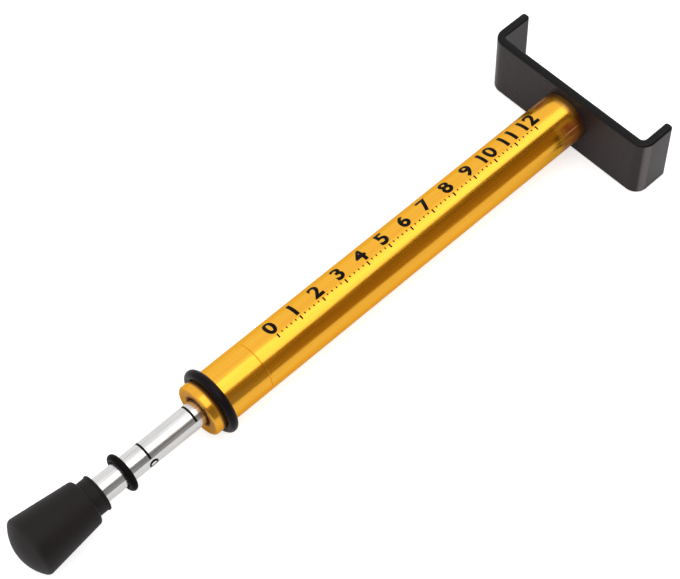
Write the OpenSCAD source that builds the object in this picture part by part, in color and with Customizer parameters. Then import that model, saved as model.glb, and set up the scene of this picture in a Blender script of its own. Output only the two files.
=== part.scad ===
// Belt tension tester: a sprung plunger gauge with a bent belt cradle on its far end.
// X runs along the tool from the knob to the cradle, Y along the cradle strip, Z up.
// The origin is the middle of the cradle's belt seat. All sizes are in millimetres.

/* [Barrel] */
// Outside diameter of the barrel tube and of the guide cap
barrel_d = 19.05; // [17:0.05:24]
// Wall thickness of the barrel tube
barrel_wall = 1.65; // [1.2:0.05:2]
// Length of the barrel tube, from the cradle to the cap seam
barrel_len = 146.6; // [140:0.1:190]
// Chamfer on each side of the seam between tube and cap
seam_chamfer = 0.2; // [0.1:0.05:0.4]

/* [Guide cap] */
// Length of the guide cap that shows outside the tube
cap_len = 24; // [20:0.5:32]
// Length of the cap's spigot inside the tube
spigot_len = 20; // [14:0.5:26]
// Rounding of the rim round the cap's face
cap_rim_r = 1.1; // [0.3:0.1:1.5]
// Depth of the dish turned into the cap's face
dish_depth = 0.6; // [0.4:0.1:1.4]
// Gap between the rod and the counterbore at the bottom of the dish
mouth_gap = 0.85; // [0.6:0.05:1.5]
// Depth of the counterbore's floor below the cap's face
mouth_depth = 2.3; // [1.7:0.1:2.6]
// Distance from the cap's face to the step that holds the bush in
bush_lip = 3.4; // [3:0.1:4]
// Wall thickness of the guide bush
bush_wall = 1.5; // [1:0.1:2]

/* [Bumper ring] */
// Distance from the cap's face to the middle of the ring's groove
bumper_inset = 5.9; // [4.5:0.1:9]
// Cord diameter of the ring
bumper_cord = 3.53; // [2.6:0.01:4.2]
// Depth of the groove that the ring sits in
groove_depth = 0.8; // [0.5:0.05:1.2]
// Chamfer on the edges of the groove
groove_edge = 0.2; // [0.1:0.05:0.3]

/* [Plunger rod] */
// Diameter of the rod
rod_d = 9; // [8:0.1:9.6]
// Distance from the cap's face to the first mark
first_mark = 3.05; // [2:0.05:5]
// Distance from the first mark to the second
mark_pitch = 19.05; // [15:0.05:22]
// Width of a mark
mark_width = 0.8; // [0.4:0.05:1.2]
// Depth of a mark
mark_depth = 0.12; // [0.05:0.01:0.25]
// Angle round the rod that a mark takes
mark_sweep = 240; // [120:5:300]
// Angle from +Y towards +Z at which a mark ends
mark_end = 147; // [90:1:180]
// Diameter of the stud that carries the follower
stud_d = 5; // [4:0.1:6]
// Diameter of the stud that takes the knob
knob_stud_d = 6; // [5:0.1:6.5]

/* [Telltale ring] */
// Distance from the cap's face to the middle of the ring
telltale_pos = 30.9; // [27:0.1:36]
// Cord diameter of the ring
telltale_cord = 2.45; // [2:0.05:3.5]

/* [Knob] */
// Distance from the cap's face to the end of the knob's collar
knob_pos = 40.7; // [38:0.1:50]
// Diameter of the bead on the collar's end
bead_d = 13.2; // [12.6:0.1:14.5]
// Width of the bead on the collar's end
bead_width = 0.9; // [0.5:0.1:1.5]
// Step from the bead down to the collar
bead_step = 0.3; // [0.1:0.05:0.5]
// Length of the collar, from its end to the lip
collar_len = 4.65; // [3:0.05:7]
// Diameter of the knob at the lip
lip_d = 16.4; // [15.5:0.1:18]
// Rounding of the lip
lip_r = 1.1; // [0.6:0.1:1.5]
// Largest diameter of the knob
knob_d = 21.2; // [19:0.1:25]
// Length of the knob, from the collar's end to its widest ring
knob_len = 26.4; // [24:0.1:34]
// Rounding of the knob's edge
knob_edge_r = 2; // [1:0.1:3]
// Radius of the domed palm face
dome_r = 16; // [13:0.5:24]
// Depth of the rod inside the collar
rod_engage = 6; // [4:0.5:8]
// Width across the flats of the insert
insert_af = 10; // [9:0.1:11]
// Length of the insert
insert_len = 15; // [12:0.5:18]
// Length of the stud left free of thread in the insert's blind end
insert_end = 2; // [1:0.5:3]

/* [Spring and follower] */
// Travel of the plunger, at whose end the spring's turns close up
travel = 24; // [15:0.5:28]
// Wire diameter of the spring
wire_d = 1.83; // [1.4:0.01:2]
// Pitch of the spring's closed end turns, in wire diameters
end_pitch_ratio = 1.12; // [1.1:0.01:1.3]
// Gap between the spring and the tube's bore
spring_gap = 1.05; // [0.6:0.05:1.5]
// Thickness of the fibre stop washer
stop_t = 1.5; // [1:0.1:2.5]
// Length of the follower's piston
follower_len = 12; // [8:0.5:16]
// Length of the pilots that centre the spring
pilot_len = 4; // [3:0.5:6]
// Thickness of the washer under the nut
washer_t = 1; // [0.6:0.1:1.5]
// Width across the flats of the nut
nut_af = 8; // [7.5:0.1:8.4]
// Thickness of the nut
nut_t = 4; // [3:0.1:5]
// Length of stud past the nut
stud_end = 1; // [0.5:0.1:2]
// Thickness of the spring seat's flange
seat_t = 1.6; // [1:0.1:2.5]
// Length of the end plug
plug_len = 24; // [20:0.5:28]

/* [Belt cradle] */
// Thickness of the strip
cradle_t = 3.25; // [3:0.05:5]
// Width of the strip
cradle_w = 26.2; // [20:0.1:32]
// Length of the cradle over its ears
cradle_len = 71.6; // [56:0.1:90]
// Height of the ear at -Y above the belt seat
ear_rise = 11.9; // [9:0.1:18]
// Height of the ear at +Y, which the maker bent a little longer
long_ear_rise = 13.4; // [9:0.1:18]
// Inside radius of the bends
bend_r = 1.7; // [1:0.1:3]
// Rounding of the ear's corners, seen flat on
ear_corner_r = 0.8; // [0.5:0.1:4]
// Rounding of the ear's tip, across the strip's thickness
ear_tip_r = 1.1; // [0.4:0.1:1.2]

/* [Cradle screw] */
// Thread diameter of the screw
screw_d = 6; // [5:0.1:7]
// Diameter of the countersunk head
screw_head_d = 10.8; // [9.5:0.1:12]
// Depth of the head below the belt seat
screw_sink = 0.3; // [0.1:0.05:0.5]
// Length of the screw, with its head
screw_len = 18; // [12:0.5:20]
// Width across the flats of the screw's socket
socket_af = 4; // [3:0.5:4]
// Depth of the screw's socket
socket_depth = 2.3; // [1.5:0.1:2.6]

/* [Clearances] */
// Radial gap of a piece that slides on another
run_gap = 0.05; // [0.02:0.01:0.1]
// Radial gap of a piece that is pressed or screwed in
press_gap = 0.02; // [0.01:0.01:0.05]
// Radial gap between the follower and the tube's bore
bore_gap = 0.3; // [0.2:0.05:0.5]
// Radial gap between a spring pilot and the spring
pilot_gap = 0.3; // [0.2:0.05:0.5]
// Gap between the stop washer and the cap at rest
rest_gap = 0.2; // [0.1:0.05:0.3]
// Gap between the spring's end turns and what they press on
coil_gap = 0.1; // [0.05:0.05:0.2]
// Chamfer that breaks a turned edge
edge_break = 0.4; // [0.2:0.05:0.6]

/* [Hidden] */
$fn = 96;

// Colours as the photograph shows them
gold = "#D99A22";
coat_black = "#3A3637";
rubber_black = "#2A2828";
bright_steel = "#D6D6D8";
zinc = "#B8BCC0";
bronze = "#A87A3C";
brass = "#C9A24A";
fibre = "#8C3B2C";

// Radii
barrel_r = barrel_d / 2;
bore_r = barrel_r - barrel_wall;
rod_r = rod_d / 2;
bush_bore_r = rod_r + run_gap;
bush_r = bush_bore_r + bush_wall;
spigot_r = bore_r - press_gap;
groove_r = barrel_r - groove_depth;
spring_r = bore_r - spring_gap;
coil_r = spring_r - wire_d / 2;
pilot_r = spring_r - wire_d - pilot_gap;
piston_r = bore_r - bore_gap;
stud_hole_r = stud_d / 2 + press_gap;
screw_hole_r = screw_d / 2 + press_gap;
screw_head_r = screw_head_d / 2;

// Places along the axis, from the cradle back to the knob
tube_end_x = -cradle_t;
plug_x = tube_end_x - plug_len;
seat_x = plug_x - seat_t;
seam_x = tube_end_x - barrel_len;
face_x = seam_x - cap_len;
spigot_x = seam_x + spigot_len;
shoulder_x = spigot_x + rest_gap;
follower_x = shoulder_x + stop_t;
flange_x = follower_x + follower_len;
washer_x = flange_x + pilot_len;
nut_x = washer_x + washer_t;
stud_x = nut_x + nut_t + stud_end;
bumper_x = face_x + bumper_inset;
telltale_x = face_x - telltale_pos;
collar_x = face_x - knob_pos;
insert_x = collar_x - rod_engage;

// Spring set out between the follower's flange and the seat, with turns enough to close up at full travel
spring_len = seat_x - flange_x - 2 * coil_gap;
end_pitch = end_pitch_ratio * wire_d;
coil_room = spring_len - wire_d - 2 * end_pitch;
active_turns = floor((coil_room - travel) / wire_d);
total_turns = active_turns + 2;
active_pitch = coil_room / active_turns;

// Half sizes of the cradle, and the heights of its ears at +Y and -Y
cradle_half = cradle_len / 2;
ear_rises = [long_ear_rise, ear_rise];
outer_bend_r = bend_r + cradle_t;

// Points along an arc from angle a0 to a1
function arc(centre, r, a0, a1, steps = 8) =
    [for (i = [0:steps]) centre + r * [cos(a0 + (a1 - a0) * i / steps), sin(a0 + (a1 - a0) * i / steps)]];

// Lays what is built along Z onto the tool's axis, with its base at x
module on_axis(x) {
    translate([x, 0, 0])
        rotate([0, 90, 0])
            children();
}

// Revolves an outline of [radius, x] points round the tool's axis
module turned(outline) {
    on_axis(0)
        rotate_extrude()
            polygon(outline);
}

// Straight hole along the tool's axis
module drilled(x, length, r) {
    on_axis(x)
        cylinder(h = length, r = r);
}

// Sleeve or washer with its four edges broken
module sleeve(x, length, inner_r, outer_r, edge) {
    turned([
        [inner_r + edge, x],
        [outer_r - edge, x],
        [outer_r, x + edge],
        [outer_r, x + length - edge],
        [outer_r - edge, x + length],
        [inner_r + edge, x + length],
        [inner_r, x + length - edge],
        [inner_r, x + edge]
    ]);
}

// Round cord bent into a ring about the tool's axis
module cord_ring(x, inner_r, cord) {
    on_axis(x)
        rotate_extrude()
            translate([inner_r + cord / 2, 0])
                circle(d = cord);
}

// Hexagon bar along the tool's axis, by its width across the flats
module hex_bar(x, length, flats) {
    on_axis(x)
        cylinder(h = length, d = flats / cos(30), $fn = 6);
}

// Section of one ear, with a rounded tip
module ear_section(rise) {
    inner = cradle_half - cradle_t;
    translate([bend_r, inner])
        square([rise - bend_r - ear_tip_r, cradle_t]);
    translate([bend_r, inner + ear_tip_r])
        square([rise - bend_r, cradle_t - 2 * ear_tip_r]);
    for (y = [inner + ear_tip_r, cradle_half - ear_tip_r])
        translate([rise - ear_tip_r, y])
            circle(r = ear_tip_r);
}

// Section of one bend, from the seat to the foot of the ear
module bend_section() {
    centre = [bend_r, cradle_half - outer_bend_r];
    difference() {
        intersection() {
            translate(centre)
                circle(r = outer_bend_r);
            translate([-cradle_t, centre[1]])
                square(outer_bend_r);
        }
        translate(centre)
            circle(r = bend_r);
    }
}

// The strip seen along Z: seat, two bends and two ears
module strip_section() {
    flat_half = cradle_half - outer_bend_r;
    translate([-cradle_t, -flat_half])
        square([cradle_t, 2 * flat_half]);
    for (side = [0, 1])
        mirror([0, side]) {
            bend_section();
            ear_section(ear_rises[side]);
        }
}

// What a corner cutter takes off one upper corner of an ear, to round it
module corner_waste(rise) {
    rotate([90, 0, 0])
        translate([rise - ear_corner_r, cradle_w / 2 - ear_corner_r, -cradle_half - 1])
            linear_extrude(height = cradle_t + 2)
                difference() {
                    square(ear_corner_r + 1);
                    circle(r = ear_corner_r);
                }
}

// Bent strip that the belt lies in, with a countersunk hole in its seat
module belt_cradle() {
    color(coat_black)
        difference() {
            linear_extrude(height = cradle_w, center = true)
                strip_section();
            for (side = [0, 1], end = [0, 1])
                mirror([0, side, 0])
                    mirror([0, 0, end])
                        corner_waste(ear_rises[side]);
            drilled(-2 * cradle_t, 4 * cradle_t, screw_hole_r);
            turned([
                [0, -screw_sink - screw_head_r + screw_hole_r - press_gap],
                [screw_hole_r, -screw_sink - screw_head_r + screw_hole_r - press_gap],
                [screw_head_r + press_gap, -screw_sink],
                [screw_head_r + press_gap, cradle_t],
                [0, cradle_t]
            ]);
        }
}

// Countersunk screw with a hexagon socket
module cradle_screw() {
    shank_r = screw_d / 2;
    color(zinc)
        difference() {
            turned([
                [0, -screw_sink],
                [screw_head_r, -screw_sink],
                [shank_r, -screw_sink - screw_head_r + shank_r],
                [shank_r, edge_break - screw_sink - screw_len],
                [shank_r - edge_break, -screw_sink - screw_len],
                [0, -screw_sink - screw_len]
            ]);
            hex_bar(-screw_sink - socket_depth, 2 * socket_depth, socket_af);
        }
}

// Plug in the tube's cradle end, tapped right through for the screw
module end_plug() {
    color(zinc)
        sleeve(plug_x, plug_len, screw_hole_r, spigot_r, edge_break);
}

// Flanged washer that centres the far end of the spring
module spring_seat() {
    color(zinc)
        turned([
            [screw_hole_r, plug_x],
            [piston_r, plug_x],
            [piston_r, seat_x],
            [pilot_r, seat_x],
            [pilot_r, seat_x - pilot_len + edge_break],
            [pilot_r - edge_break, seat_x - pilot_len],
            [screw_hole_r, seat_x - pilot_len]
        ]);
}

// Height of the spring's wire above its first turn, after so many turns
function coil_height(turn) =
    end_pitch * min(turn, 1)
    + active_pitch * max(0, min(turn - 1, active_turns))
    + end_pitch * max(0, turn - active_turns - 1);

// Coil spring with a closed turn at each end
module compression_spring() {
    sides = 8;
    steps_per_turn = 10;
    steps = total_turns * steps_per_turn;
    base = wire_d / 2;
    points = [for (i = [0:steps], j = [0:sides - 1])
        let (
            turn = i / steps_per_turn,
            out = coil_r + base * cos(360 * j / sides),
            up = base + coil_height(turn) + base * sin(360 * j / sides)
        )
        [out * cos(360 * turn), out * sin(360 * turn), up]];
    walls = [for (i = [0:steps - 1], j = [0:sides - 1])
        let (next = (j + 1) % sides)
        [i * sides + j, (i + 1) * sides + j, (i + 1) * sides + next, i * sides + next]];
    first_cap = [for (j = [0:sides - 1]) j];
    last_cap = [for (j = [sides - 1:-1:0]) steps * sides + j];
    color(bright_steel)
        on_axis(flange_x + coil_gap)
            polyhedron(points, concat(walls, [first_cap, last_cap]));
}

// Hexagon nut on the rod's inner stud, its corners turned off
module follower_nut() {
    corner_r = nut_af / 2 / cos(30);
    color(zinc)
        difference() {
            intersection() {
                hex_bar(nut_x, nut_t, nut_af);
                turned([
                    [0, nut_x],
                    [corner_r - edge_break, nut_x],
                    [corner_r, nut_x + edge_break],
                    [corner_r, nut_x + nut_t - edge_break],
                    [corner_r - edge_break, nut_x + nut_t],
                    [0, nut_x + nut_t]
                ]);
            }
            drilled(nut_x - nut_t, 3 * nut_t, stud_hole_r);
        }
}

// Plain washer under the nut
module follower_washer() {
    color(zinc)
        sleeve(washer_x, washer_t, stud_hole_r, pilot_r, washer_t / 8);
}

// Piston on the rod's inner end: guided by the tube, and flanged to push the spring
module spring_follower() {
    relief = 2 * edge_break;
    color(zinc)
        turned([
            [stud_hole_r, follower_x],
            [piston_r - edge_break, follower_x],
            [piston_r, follower_x + edge_break],
            [piston_r, follower_x + follower_len / 3],
            [piston_r - relief, follower_x + follower_len / 3 + relief],
            [piston_r - relief, follower_x + 2 * follower_len / 3 - relief],
            [piston_r, follower_x + 2 * follower_len / 3],
            [piston_r, flange_x],
            [pilot_r, flange_x],
            [pilot_r, washer_x - edge_break],
            [pilot_r - edge_break, washer_x],
            [stud_hole_r, washer_x]
        ]);
}

// Fibre washer that the plunger stops on
module stop_washer() {
    color(fibre)
        sleeve(shoulder_x, stop_t, stud_hole_r, piston_r, stop_t / 8);
}

// Drawn tube, chamfered at its seam with the cap
module barrel_tube() {
    color(gold)
        turned([
            [bore_r, seam_x],
            [barrel_r - seam_chamfer, seam_x],
            [barrel_r, seam_x + seam_chamfer],
            [barrel_r, tube_end_x],
            [bore_r, tube_end_x]
        ]);
}

// Turned cap with a dished face, a ring groove and a spigot that fits the tube
module guide_cap() {
    lip_bore_r = bush_bore_r + run_gap;
    mouth_r = rod_r + mouth_gap;
    groove_half = bumper_cord / 2 + run_gap;
    bush_stop_x = face_x + bush_lip;
    color(gold)
        turned(concat(
            [
                [lip_bore_r, bush_stop_x],
                [lip_bore_r, face_x + mouth_depth],
                [mouth_r, face_x + mouth_depth],
                [mouth_r, face_x + dish_depth]
            ],
            arc([barrel_r - cap_rim_r, face_x + cap_rim_r], cap_rim_r, -90, 0),
            [
                [barrel_r, bumper_x - groove_half - groove_edge],
                [barrel_r - groove_edge, bumper_x - groove_half],
                [groove_r, bumper_x - groove_half],
                [groove_r, bumper_x + groove_half],
                [barrel_r - groove_edge, bumper_x + groove_half],
                [barrel_r, bumper_x + groove_half + groove_edge],
                [barrel_r, seam_x - seam_chamfer],
                [barrel_r - seam_chamfer, seam_x],
                [spigot_r, seam_x],
                [spigot_r, spigot_x - edge_break],
                [spigot_r - edge_break, spigot_x],
                [bush_r + press_gap, spigot_x],
                [bush_r + press_gap, bush_stop_x]
            ]
        ));
}

// Plain bearing for the rod
module guide_bush() {
    bush_stop_x = face_x + bush_lip;
    color(bronze)
        sleeve(bush_stop_x, spigot_x - bush_stop_x, bush_bore_r, bush_r, bush_wall / 5);
}

// Large ring that cushions the cap
module bumper_ring() {
    color(rubber_black)
        cord_ring(bumper_x, groove_r + press_gap, bumper_cord);
}

// One mark: a shallow channel that runs part of the way round the rod
module mark_channel(x) {
    on_axis(x - mark_width / 2)
        rotate([0, 0, 90 + mark_end - mark_sweep])
            rotate_extrude(angle = mark_sweep)
                translate([rod_r - mark_depth, 0])
                    square([2 * mark_depth, mark_width]);
}

// Rod with a stud at each end and two marks
module plunger_rod() {
    knob_end_x = insert_x - insert_len + insert_end;
    knob_stud_r = knob_stud_d / 2;
    stud_r = stud_d / 2;
    color(bright_steel)
        difference() {
            turned([
                [0, knob_end_x],
                [knob_stud_r - edge_break, knob_end_x],
                [knob_stud_r, knob_end_x + edge_break],
                [knob_stud_r, insert_x],
                [rod_r, insert_x],
                [rod_r, shoulder_x],
                [stud_r, shoulder_x],
                [stud_r, stud_x - edge_break],
                [stud_r - edge_break, stud_x],
                [0, stud_x]
            ]);
            for (place = [first_mark, first_mark + mark_pitch])
                mark_channel(face_x - place);
        }
}

// Small ring that the cap's face pushes along the rod, where it stays
module telltale_ring() {
    color(rubber_black)
        cord_ring(telltale_x, rod_r + run_gap, telltale_cord);
}

// Moulded rubber knob: beaded collar, rounded lip, taper and domed palm face
module push_knob() {
    collar_r = bead_d / 2 - bead_step;
    lip_centre = [lip_d / 2 - lip_r, -collar_len - lip_r];
    edge_centre = [knob_d / 2 - knob_edge_r, -knob_len];
    dome_drop = sqrt(pow(dome_r - knob_edge_r, 2) - pow(edge_centre[0], 2));
    dome_centre = [0, dome_drop - knob_len];
    run = edge_centre - lip_centre;
    taper = atan2(run[0], -run[1]) + asin((knob_edge_r - lip_r) / norm(run));
    dome_start = -acos(edge_centre[0] / (dome_r - knob_edge_r));
    bead = bead_step;
    color(rubber_black)
        difference() {
            on_axis(collar_x)
                rotate_extrude()
                    polygon(concat(
                        [[0, 0]],
                        arc([bead_d / 2 - bead, -bead], bead, 90, 0, 4),
                        [
                            [bead_d / 2, bead - bead_width],
                            [collar_r, -bead_width],
                            [collar_r, -collar_len]
                        ],
                        arc(lip_centre, lip_r, 90, taper),
                        arc(edge_centre, knob_edge_r, taper, dome_start, 12),
                        arc(dome_centre, dome_r, dome_start, -90, 16)
                    ));
            drilled(insert_x, 2 * rod_engage, rod_r + press_gap);
            hex_bar(insert_x - insert_len - press_gap, insert_len + 2 * press_gap, insert_af + 2 * press_gap);
        }
}

// Hexagon insert in the knob, tapped for the rod's outer stud
module knob_insert() {
    color(brass)
        difference() {
            hex_bar(insert_x - insert_len, insert_len, insert_af);
            drilled(insert_x - insert_len + insert_end - press_gap, insert_len, knob_stud_d / 2 + press_gap);
        }
}

belt_cradle();
cradle_screw();
end_plug();
spring_seat();
compression_spring();
follower_nut();
follower_washer();
spring_follower();
stop_washer();
barrel_tube();
guide_cap();
guide_bush();
bumper_ring();
plunger_rod();
telltale_ring();
push_knob();
knob_insert();
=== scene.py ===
# %% [markdown]
# # A belt tension tester, dressed from its engineering frame
# The tool is a sprung plunger gauge. A gold tube holds a coil spring, a bright rod slides in one end with a
# rubber knob on it, and a bent black cradle on the other end pushes on a drive belt. The frame already holds
# every piece at its real size, so this lesson adds what a camera notices: soft edges, printing and finishes.

# %% Load the frame
import math

import bmesh
import bpy
from mathutils import Matrix, Vector


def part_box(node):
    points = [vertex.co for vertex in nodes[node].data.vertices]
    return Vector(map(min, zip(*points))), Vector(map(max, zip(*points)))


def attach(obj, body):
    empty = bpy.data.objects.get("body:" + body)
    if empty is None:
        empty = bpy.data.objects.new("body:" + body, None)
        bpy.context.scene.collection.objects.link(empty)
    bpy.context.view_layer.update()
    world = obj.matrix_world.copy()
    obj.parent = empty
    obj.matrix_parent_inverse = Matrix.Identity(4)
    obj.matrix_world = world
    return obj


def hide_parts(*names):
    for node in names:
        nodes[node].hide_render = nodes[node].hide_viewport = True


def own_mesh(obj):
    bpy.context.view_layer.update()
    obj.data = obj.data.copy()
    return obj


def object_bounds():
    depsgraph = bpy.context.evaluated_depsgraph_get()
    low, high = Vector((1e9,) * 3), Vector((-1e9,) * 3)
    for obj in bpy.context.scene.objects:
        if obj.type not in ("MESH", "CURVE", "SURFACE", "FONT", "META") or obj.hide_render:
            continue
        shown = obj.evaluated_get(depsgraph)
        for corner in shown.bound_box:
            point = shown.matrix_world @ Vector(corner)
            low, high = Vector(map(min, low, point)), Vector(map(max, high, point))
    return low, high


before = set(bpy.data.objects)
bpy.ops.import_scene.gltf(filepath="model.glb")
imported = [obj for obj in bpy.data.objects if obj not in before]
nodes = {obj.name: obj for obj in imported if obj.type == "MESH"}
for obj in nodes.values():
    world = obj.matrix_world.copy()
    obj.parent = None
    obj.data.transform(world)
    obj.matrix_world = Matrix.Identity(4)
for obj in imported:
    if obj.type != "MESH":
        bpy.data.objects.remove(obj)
cad_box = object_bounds()

# %% [markdown]
# Blender works in metres and a maker works in millimetres, so one short helper turns one into the other.
# The sizes of the main pieces are read back from the frame, as the lowest and the highest corner of each
# piece's box, so what is built below always fits it.

# %% Sizes read from the frame
def mm(value):
    return value / 1000.0


lowest, highest = 0, 1
tube_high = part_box("barrel_tube")[highest]
cap_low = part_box("guide_cap")[lowest]
rod_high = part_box("plunger_rod")[highest]
knob_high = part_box("push_knob")[highest]
cradle_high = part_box("belt_cradle")[highest]
spring_low, spring_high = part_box("compression_spring")

barrel_r = tube_high.z
cap_face_x = cap_low.x
rod_r = rod_high.z
print("tube radius %.2f mm, cap face at %.1f mm" % (barrel_r * 1000, cap_face_x * 1000))

# %% [markdown]
# ## The camera
# The photograph was taken from above the knob end, with a short telephoto view. The camera's place and turn
# were fitted to the tube's edges, the rings and the cradle's corners, so straight lines and ellipses agree.
# A camera looks along its own minus Z, so its matrix is built from its right, up and back directions.

# %% Camera at the photograph's angle
image_width, image_height = 680, 579
camera_azimuth = math.radians(-41.01)
camera_elevation = math.radians(56.64)
camera_roll = math.radians(-2.85)
camera_place = Vector((mm(-332.5), mm(-254.6), mm(516.8)))
focal_pixels = 1869.0
sensor_width = 36.0

back = Vector((
    math.sin(camera_azimuth) * math.cos(camera_elevation),
    -math.cos(camera_azimuth) * math.cos(camera_elevation),
    math.sin(camera_elevation),
))
level_right = Vector((0, 0, 1)).cross(back).normalized()
level_up = back.cross(level_right)
right = math.cos(camera_roll) * level_right + math.sin(camera_roll) * level_up
up = math.cos(camera_roll) * level_up - math.sin(camera_roll) * level_right

camera_data = bpy.data.cameras.new("studio_camera")
camera_data.sensor_fit = "HORIZONTAL"
camera_data.sensor_width = sensor_width
camera_data.lens = focal_pixels / image_width * sensor_width
camera_data.clip_start = 0.01
camera = bpy.data.objects.new("studio_camera", camera_data)
camera.matrix_world = Matrix.Translation(camera_place) @ Matrix((right, up, back)).transposed().to_4x4()
bpy.context.scene.collection.objects.link(camera)
bpy.context.scene.camera = camera
bpy.context.scene.view_settings.view_transform = "Standard"
print("lens %.1f mm for a %d by %d image" % (camera_data.lens, image_width, image_height))

# %% [markdown]
# ## Small helpers for nodes
# A material is a tree of nodes. One function places a node, sets its values and draws its links: where a
# socket's value is another node's output, it is linked, and otherwise it is set as a number or colour.
# A Mix node keeps one pair of inputs for each kind of data, so its sockets are picked by their place.

# %% Node helpers
def place(tree, kind, sockets=None, **settings):
    node = tree.nodes.new(kind)
    for name, value in settings.items():
        setattr(node, name, value)
    for name, value in (sockets or {}).items():
        if isinstance(value, bpy.types.NodeSocket):
            tree.links.new(value, node.inputs[name])
        else:
            node.inputs[name].default_value = value
    return node


def new_group(name, inputs, outputs):
    group = bpy.data.node_groups.new(name, "ShaderNodeTree")
    for label, value in inputs.items():
        socket = group.interface.new_socket(name=label, in_out="INPUT", socket_type="NodeSocketFloat")
        socket.default_value = value
    for label in outputs:
        group.interface.new_socket(name=label, in_out="OUTPUT", socket_type="NodeSocketFloat")
    return group, group.nodes.new("NodeGroupInput").outputs, group.nodes.new("NodeGroupOutput").inputs


def use_group(tree, group, **values):
    node = place(tree, "ShaderNodeGroup", node_tree=group)
    for label, value in values.items():
        node.inputs[label.replace("_", " ")].default_value = value
    return node.outputs


def remap(tree, value, low, high, from_low=0.0, from_high=1.0):
    node = place(tree, "ShaderNodeMapRange", {
        "Value": value, "From Min": from_low, "From Max": from_high, "To Min": low, "To Max": high})
    return node.outputs["Result"]


def blend_colour(tree, factor, first, second):
    node = place(tree, "ShaderNodeMix", data_type="RGBA")
    tree.links.new(factor, node.inputs["Factor"])
    first_colour, second_colour = node.inputs[6], node.inputs[7]
    for socket, colour in ((first_colour, first), (second_colour, second)):
        if isinstance(colour, bpy.types.NodeSocket):
            tree.links.new(colour, socket)
        else:
            socket.default_value = (*colour, 1.0)
    return node.outputs[2]


def math_node(tree, operation, first, second):
    node = place(tree, "ShaderNodeMath", operation=operation)
    for socket, value in zip(node.inputs, (first, second)):
        if isinstance(value, bpy.types.NodeSocket):
            tree.links.new(value, socket)
        else:
            socket.default_value = value
    return node.outputs["Value"]


def size_of(tree, value):
    return math_node(tree, "ABSOLUTE", value, 0.0)


def coordinate(tree, kind, axis):
    coords = place(tree, "ShaderNodeTexCoord").outputs[kind]
    return place(tree, "ShaderNodeSeparateXYZ", {"Vector": coords}).outputs[axis]


def new_material(name, **values):
    material = bpy.data.materials.new(name)
    material.use_nodes = True
    shader = material.node_tree.nodes["Principled BSDF"]
    for label, value in values.items():
        shader.inputs[label.replace("_", " ")].default_value = value
    return material, material.node_tree, shader.inputs


def bump(tree, height, depth, strength=1.0):
    node = place(tree, "ShaderNodeBump", {"Height": height, "Distance": depth, "Strength": strength})
    return node.outputs["Normal"]


print("helpers ready")

# %% [markdown]
# ## Shared surface effects
# Several finishes share the same small-scale effects, so each effect is a node group with named inputs.
# Drawn grain is the fine lines that a die or a grinding wheel leaves along a bar: noise squeezed across the
# bar and stretched along it. Everything is measured in the piece's own metres, so it moves with the piece.

# %% Drawn grain
broad_share = 0.09
drawn_grain, given, made = new_group(
    "drawn grain", {"Lines per metre": 5000.0, "Stretch": 0.01}, ["Streaks", "Tone"])
coords = place(drawn_grain, "ShaderNodeTexCoord").outputs["Object"]
squeeze = place(drawn_grain, "ShaderNodeCombineXYZ", {"X": given["Stretch"], "Y": 1.0, "Z": 1.0})
along = place(drawn_grain, "ShaderNodeVectorMath", operation="MULTIPLY")
drawn_grain.links.new(coords, along.inputs[0])
drawn_grain.links.new(squeeze.outputs[0], along.inputs[1])
fine = place(drawn_grain, "ShaderNodeTexNoise", {
    "Vector": along.outputs[0], "Scale": given["Lines per metre"], "Detail": 2.0, "Roughness": 0.6})
broad_scale = math_node(drawn_grain, "MULTIPLY", given["Lines per metre"], broad_share)
broad = place(drawn_grain, "ShaderNodeTexNoise", {
    "Vector": along.outputs[0], "Scale": broad_scale, "Detail": 4.0})
both = math_node(drawn_grain, "ADD", fine.outputs["Fac"], broad.outputs["Fac"])
drawn_grain.links.new(fine.outputs["Fac"], made["Streaks"])
drawn_grain.links.new(remap(drawn_grain, both, 0.0, 1.0, 0.72, 1.28), made["Tone"])
print("group:", drawn_grain.name)

# %% [markdown]
# Handling scuffs are the thin, short scratches that a tool gets in a drawer. Noise stretched along a slanted
# direction makes dashes, and keeping only its highest values leaves a few of them. Two slants look natural.

# %% Handling scuffs
scuff_slants = ((0.4, 0.7, 0.3), (-0.6, 0.2, 1.0))
dash_stretch = (0.06, 1.0, 1.0)
handling_scuffs, given, made = new_group(
    "handling scuffs", {"Scale": 900.0, "Sparseness": 0.72}, ["Mask"])
coords = place(handling_scuffs, "ShaderNodeTexCoord").outputs["Object"]
masks = []
for slant in scuff_slants:
    turned_coords = place(handling_scuffs, "ShaderNodeMapping", {
        "Vector": coords, "Rotation": slant, "Scale": dash_stretch})
    dashes = place(handling_scuffs, "ShaderNodeTexNoise", {
        "Vector": turned_coords.outputs[0], "Scale": given["Scale"], "Detail": 2.0})
    above = math_node(handling_scuffs, "SUBTRACT", dashes.outputs["Fac"], given["Sparseness"])
    masks.append(remap(handling_scuffs, above, 0.0, 1.0, 0.0, 0.03))
either = math_node(handling_scuffs, "MAXIMUM", *masks)
handling_scuffs.links.new(either, made["Mask"])
print("group:", handling_scuffs.name)

# %% [markdown]
# Skin texture is the fine unevenness of a moulded or sprayed surface. It gives a small height for the bump,
# and a broad mottle that varies colour and gloss a little from place to place.

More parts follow.
